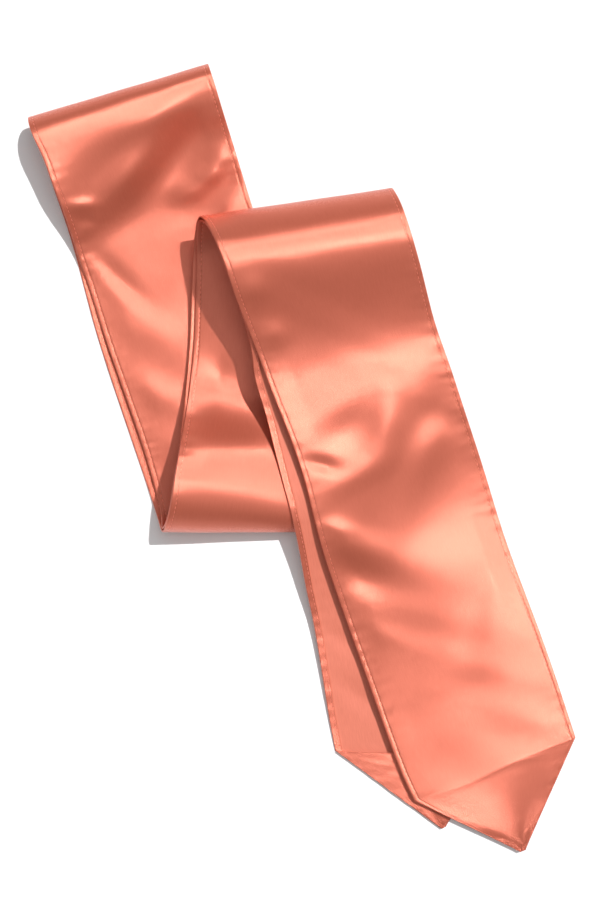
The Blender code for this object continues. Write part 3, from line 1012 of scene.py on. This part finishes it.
@dataclass
class PointPocket:
    """The satin turned in over the wrong side of a point, which makes a shallow pocket.

    Attributes:
        sash: the strip as it lies.
        rise: distance of the pocket's middle below the strip's.
        thickness: thickness of the pocket's cloth.
        inset: distance that the pocket is drawn in from the point's edges.
        narrowest: least share of its width that it keeps.
        bow: how far the middle of its turned edge droops towards the tip.
        gather: height of the gathers in it.
        gather_turns: how far each of the gathers' two waves turns from the tip to the turned edge, and from
            the pocket's left to its right, in radians.
    """

    sash: LaidSash
    rise: float = 1.6
    thickness: float = 0.5
    inset: float = 0.6
    narrowest: float = 0.3
    bow: float = 7.0
    gather: float = 0.5
    gather_turns: tuple[tuple[float, float], tuple[float, float]] = ((38.0, 9.0), (5.0, 21.0))

    def piece(self, point: Point, pieces: ClothPieces) -> bpy.types.Object:
        """Make one pocket.

        Args:
            point: which end of the sash.
            pieces: the maker of cloth walls.

        Returns:
            The pocket.
        """
        span = self.sash.span(point)
        middle = self.sash.middle[span]
        normals = self.sash.normals[span]
        laid = middle - normals * self.rise
        centre = laid.mean(axis=1, keepdims=True)
        reach = np.linalg.norm(laid - centre, axis=2, keepdims=True).max(axis=1, keepdims=True)
        laid = centre + (laid - centre) * np.maximum(self.narrowest, 1 - self.inset / reach)
        base, tip = (0, -1) if point is Point.FRONT else (-1, 0)
        ahead = centre[tip] - centre[base]
        left = np.linalg.norm(centre[tip] - centre, axis=2) / np.linalg.norm(ahead)
        places = self.sash.cloth.lines() / self.sash.cloth.width
        droop = self.bow * left**2 * arched(places)
        laid = laid + unit(ahead) * droop[:, :, None]
        laid = laid + normals * self.gathers(left, places)[:, :, None]
        shown = laid - normals * self.sash.cloth.form
        hidden = shown + normals * self.thickness
        lines = self.sash.cloth.lines()
        return pieces.wall(f"{point.value}_cloth", hidden, shown, self.sash.run[span], lines,
                           np.ones(len(lines), dtype=bool))

    def gathers(self, left: np.ndarray, places: np.ndarray) -> np.ndarray:
        """Work out the small gathers where the pocket is drawn in.

        Args:
            left: share of the way back from the tip to the turned edge, for each row.
            places: place of each line across the pocket, from 0 to 1.

        Returns:
            How far the pocket's cloth rises into the point at each row and line.
        """
        fine, coarse = (np.sin(back * left + aside * places) for back, aside in self.gather_turns)
        return self.gather / 2 * fine * coarse * eased(left * 2) * arched(places)


@dataclass
class HemStitching:
    """Rows of small stitches along the hems.

    Attributes:
        sash: the strip as it lies.
        length: length of one stitch.
        pitch: distance from one stitch to the next.
        radius: radius of the thread.
        proud: how far a stitch's middle stands out of the cloth.
    """

    sash: LaidSash
    length: float = 2.1
    pitch: float = 2.6
    radius: float = 0.15
    proud: float = 0.02

    def stitch(self) -> tuple[np.ndarray, np.ndarray]:
        """Shape one stitch lying along X.

        Returns:
            Its points, and its faces as rows of three indices.
        """
        shape = bmesh.new()
        bmesh.ops.create_icosphere(shape, subdivisions=1, radius=1.0)
        bmesh.ops.scale(shape, vec=(self.length / 2, self.radius, self.radius), verts=shape.verts)
        points = np.array([vertex.co[:] for vertex in shape.verts])
        faces = np.array([[vertex.index for vertex in face.verts] for face in shape.faces])
        shape.free()
        return points, faces

    def along(self, line: np.ndarray, normals: np.ndarray) -> tuple[np.ndarray, np.ndarray, np.ndarray]:
        """Space stitches out along one line of the cloth.

        Args:
            line: points along the cloth.
            normals: the outward directions there.

        Returns:
            Each stitch's place, its direction and the way out of the cloth.
        """
        run = np.concatenate([[0.0], np.cumsum(np.linalg.norm(np.diff(line, axis=0), axis=1))])
        at = np.arange(self.pitch, run[-1] - self.pitch / 2, self.pitch)
        spots, out = (
            np.column_stack([np.interp(at, run, given[:, k]) for k in range(3)]) for given in (line, normals)
        )
        ahead = np.column_stack([np.interp(at + 0.5, run, line[:, k]) for k in range(3)])
        return spots, unit(ahead - spots), unit(out)

    def piece(self, stretch: Stretch, finish: bpy.types.Material) -> bpy.types.Object:
        """Make the stitches of one stretch as one joined mesh.

        Args:
            stretch: which stretch.
            finish: the thread's material.

        Returns:
            The stitches.
        """
        span = self.sash.span(stretch)
        first, last = span.start, span.stop
        places = self.sash.route.places
        if stretch is Stretch.BACK_LOWER:
            first = places["back corners"]
        if stretch is Stretch.FRONT_LOWER:
            last = places["front corners"] + 1
        cloth = self.sash.cloth
        column = int(np.argmin(np.abs(cloth.lines() - cloth.stitch_inset)))
        columns = (column, len(cloth.lines()) - 1 - column)
        shape, faces = self.stitch()
        points = []
        for side, way in ((self.sash.face, 1), (self.sash.back, -1)):
            for k in columns:
                normals = self.sash.normals[first:last, k] * way
                spots, ahead, out = self.along(side[first:last, k], normals)
                aside = np.cross(out, ahead)
                out = np.cross(ahead, aside)
                spots = spots + out * self.proud
                axes = np.stack([ahead, aside, out], axis=1)
                points.append(np.einsum("pk,skc->spc", shape, axes) + spots[:, None, :])
        every = np.concatenate(points)
        count = len(every)
        flat = every.reshape(-1, 3) - np.array([CENTRE_X, CENTRE_Y, 0.0])
        flat[:, 2] = np.maximum(flat[:, 2], 0.0)
        joined = (faces[None] + np.arange(count)[:, None, None] * len(shape)).reshape(-1, 3)
        mesh = bpy.data.meshes.new(f"{stretch.value}_stitches")
        mesh.from_pydata((flat * MM).tolist(), [], joined.tolist())
        mesh.shade_smooth()
        mesh.materials.append(finish)
        LOG.info("%s: %d stitches", mesh.name, count)
        return add_object(mesh.name, mesh)


@dataclass
class Studio:
    """The white surface, the lights and the overhead camera.

    Attributes:
        camera_height: height of the camera above the surface.
        lens_height: height of the camera's sensor.
        nearest_seen: distance of the nearest thing that the camera shows.
        view_height: height of the surface that the picture shows.
        key_direction: direction from the sash towards the hard light.
        key_strength: strength of the hard light.
        key_angle: how wide the hard light looks, in radians.
        box_direction: direction from the sash towards the soft box.
        box_distance: how far away it hangs.
        box_size: its width and length.
        box_power: its power, in watts.
        room: brightness of the room around.
        seen_room: brightness of the room as the camera sees it.
        floor_size: half the side of the surface.
        floor_drop: how far the surface lies below the sash's underside.
        floor_colour: colour of the surface.
        floor_roughness: roughness of the surface's gloss.
        floor_gloss: strength of that gloss.
    """

    camera_height: float = 1100.0
    lens_height: float = 36.0
    nearest_seen: float = 10.0
    view_height: float = 511.1
    key_direction: tuple[float, float, float] = (0.36, 0.345, 0.866)
    key_strength: float = 3.1
    key_angle: float = 0.02
    box_direction: tuple[float, float, float] = (0.115, 0.110, 0.987)
    box_distance: float = 1600.0
    box_size: tuple[float, float] = (1040.0, 1500.0)
    box_power: float = 7.0
    room: float = 0.29
    seen_room: float = 0.95
    floor_size: float = 3000.0
    floor_drop: float = 0.1
    floor_colour: tuple[float, float, float] = (0.93, 0.93, 0.935)
    floor_roughness: float = 0.8
    floor_gloss: float = 0.1

    def build(self) -> None:
        """Set the whole studio up."""
        self.surface()
        self.key()
        self.fill()
        self.surroundings()
        self.camera()
        bpy.context.scene.view_settings.view_transform = "Standard"

    def surface(self) -> None:
        """Make the white surface."""
        sheet = bmesh.new()
        bmesh.ops.create_grid(sheet, x_segments=1, y_segments=1, size=self.floor_size * MM)
        bmesh.ops.translate(sheet, vec=(0.0, 0.0, -self.floor_drop * MM), verts=sheet.verts)
        mesh = bpy.data.meshes.new("white_surface")
        sheet.to_mesh(mesh)
        sheet.free()
        paint, _ = principled("white surface", {
            "Base Color": (*self.floor_colour, 1.0),
            "Roughness": self.floor_roughness,
            "Specular IOR Level": self.floor_gloss,
        })
        mesh.materials.append(paint)
        add_object("white_surface", mesh)

    def key(self) -> None:
        """Place the hard light at the upper right."""
        light = bpy.data.lights.new("key", "SUN")
        light.energy = self.key_strength
        light.angle = self.key_angle
        sun = add_object("key", light)
        towards = Vector(self.key_direction)
        sun.location = towards
        sun.rotation_euler = towards.to_track_quat("Z", "Y").to_euler()

    def fill(self) -> None:
        """Place the soft light overhead."""
        light = bpy.data.lights.new("soft box", "AREA")
        light.shape = "RECTANGLE"
        light.size, light.size_y = (side * MM for side in self.box_size)
        light.energy = self.box_power
        box = add_object("soft box", light)
        towards = Vector(self.box_direction)
        box.location = towards * self.box_distance * MM
        box.rotation_euler = towards.to_track_quat("Z", "Y").to_euler()

    def surroundings(self) -> None:
        """Light the room softly, and show it pale behind the surface."""
        world = bpy.data.worlds.new("room")
        bpy.context.scene.world = world
        world.use_nodes = True
        tree = world.node_tree
        dim = tree.nodes["Background"]
        set_inputs(dim, {"Color": WHITE, "Strength": self.room})
        pale = add_node(tree, "Background", "seen room", {"Color": WHITE, "Strength": self.seen_room})
        rays = add_node(tree, "LightPath", "rays")
        either = add_node(tree, "MixShader", "either")
        join(
            tree,
            (rays, "Is Camera Ray", either, "Fac"),
            (dim, "Background", either, 1),
            (pale, "Background", either, 2),
            (either, "Shader", tree.nodes["World Output"], "Surface"),
        )

    def camera(self) -> None:
        """Hang the camera straight above the middle of the picture."""
        lens = bpy.data.cameras.new("overhead")
        lens.sensor_fit = "VERTICAL"
        lens.sensor_height = self.lens_height
        lens.lens = self.lens_height * self.camera_height / self.view_height
        lens.clip_start = self.nearest_seen * MM
        seen_from = add_object("overhead", lens)
        seen_from.location = (-CENTRE_X * MM, -CENTRE_Y * MM, self.camera_height * MM)
        bpy.context.scene.camera = seen_from


def main() -> None:
    """Build the sash and the studio, and hide the model's solids that the new pieces take the place of."""
    logging.basicConfig(level=logging.INFO, format="%(name)s: %(message)s")
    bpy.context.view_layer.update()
    sash = LaidSash(HemmedCloth(), FoldedRoute())
    pieces = ClothPieces(sash)
    stitching = HemStitching(sash)
    pocket = PointPocket(sash)
    thread = ThreadFinish().material()
    for stretch in Stretch:
        cloth = pieces.stretch(stretch)
        stitches = stitching.piece(stretch, thread)
        for made in (cloth, stitches):
            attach(made, "root")
        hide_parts(stretch.value)
        span = sash.span(stretch)
    for point in Point:
        made = pocket.piece(point, pieces)
        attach(made, "root")
        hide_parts(point.value)
    Studio().build()


if __name__ == "__main__":
    main()
